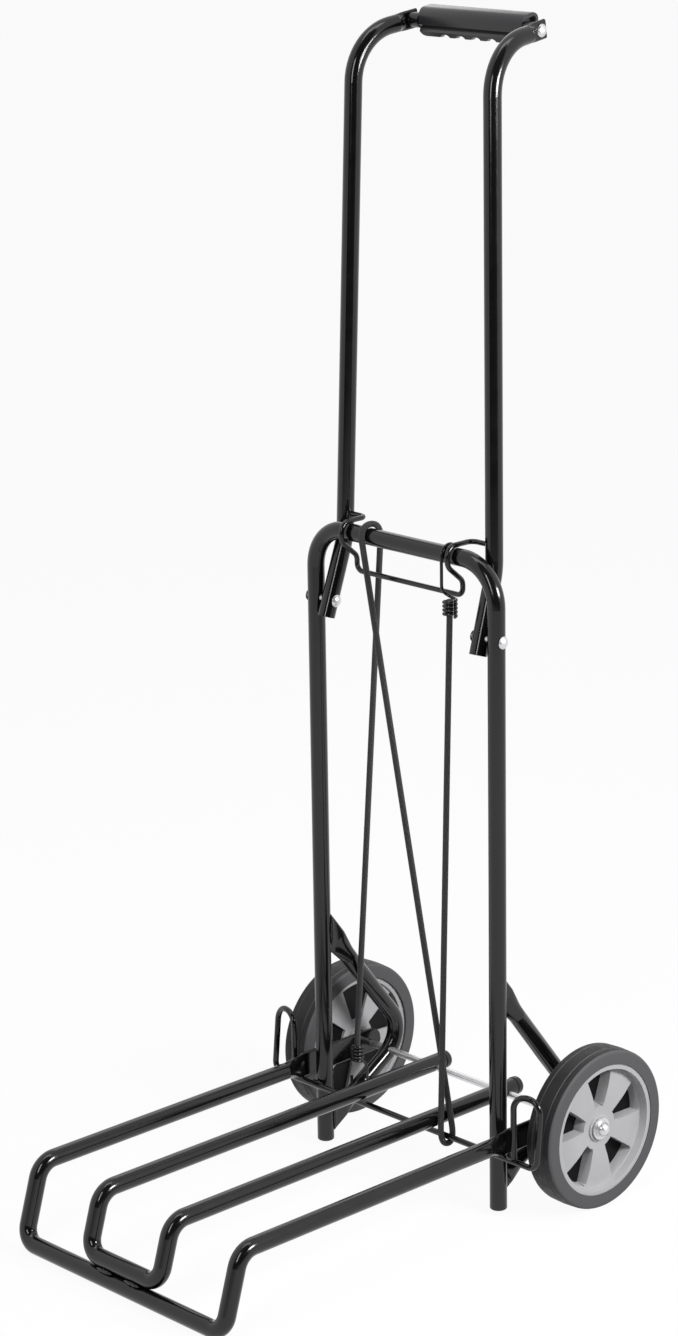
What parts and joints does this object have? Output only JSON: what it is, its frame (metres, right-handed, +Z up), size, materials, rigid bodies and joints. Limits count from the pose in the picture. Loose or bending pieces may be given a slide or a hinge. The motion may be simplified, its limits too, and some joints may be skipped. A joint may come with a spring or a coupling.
{
  "type": "folding luggage trolley",
  "caption": "Folding luggage trolley with a tube frame, a fold-up platform, wheels on an axle, a fold-down handle held by a wire latch, and an elastic cord that ties the load.",
  "frame": {"origin": "on the floor, under the middle of the trolley's box without the cord", "axes": "+X to the right along the axle, +Y to the rear, away from the platform, +Z up"},
  "size_m": [0.3108, 0.4502, 0.9385],
  "materials": {
    "black_enamel": "gloss",
    "zinc": "bright",
    "black_plastic": "satin",
    "grip_plastic": "satin",
    "elastic_cord": "braided",
    "tyre_rubber": "matt",
    "hub_plastic": "satin"
  },
  "bodies": {
    "frame": {"lower_frame": "black_enamel", "foot_plugs": "black_plastic", "wheel_bracket_left": "black_enamel", "wheel_bracket_right": "black_enamel", "axle": "zinc", "wheel_spacers": "black_plastic", "axle_washers": "zinc", "axle_caps": "zinc", "guard_rod": "black_enamel", "handle_rivets": "zinc", "bungee_cord": "elastic_cord", "bungee_hook_upper": "black_enamel", "bungee_hook_lower": "black_enamel"},
    "platform": {"platform_outer_tube": "black_enamel", "platform_inner_tube": "black_enamel", "tail_caps": "black_plastic"},
    "handle": {"handle_tube_left": "black_enamel", "handle_tube_right": "black_enamel", "grip": "grip_plastic", "grip_rod": "zinc", "grip_spacers": "black_plastic"},
    "latch": {"latch_bail": "black_enamel"},
    "left_wheel": {"left_tyre": "tyre_rubber", "left_hub": "hub_plastic"},
    "right_wheel": {"right_tyre": "tyre_rubber", "right_hub": "hub_plastic"}
  },
  "joints": [
    {"name": "platform_fold", "type": "hinge", "parent": "frame", "child": "platform", "pos_m": [0, 0.15908, 0.066], "axis": [-1, 0, 0], "range_deg": [0, 83], "deforming": ["bungee_cord", "bungee_hook_upper"]},
    {"name": "handle_fold", "type": "hinge", "parent": "frame", "child": "handle", "pos_m": [0, 0.09088, 0.473], "axis": [-1, 0, 0], "range_deg": [0, 155], "deforming": ["latch_bail"]},
    {"name": "latch_release", "type": "hinge", "parent": "handle", "child": "latch", "pos_m": [0, 0.10734, 0.542], "axis": [-1, 0, 0], "range_deg": [0, 90]},
    {"name": "left_wheel_spin", "type": "hinge", "parent": "frame", "child": "left_wheel", "pos_m": [0, 0.15908, 0.066], "axis": [1, 0, 0], "continuous": true},
    {"name": "right_wheel_spin", "type": "hinge", "parent": "frame", "child": "right_wheel", "pos_m": [0, 0.15908, 0.066], "axis": [1, 0, 0], "continuous": true}
  ]
}
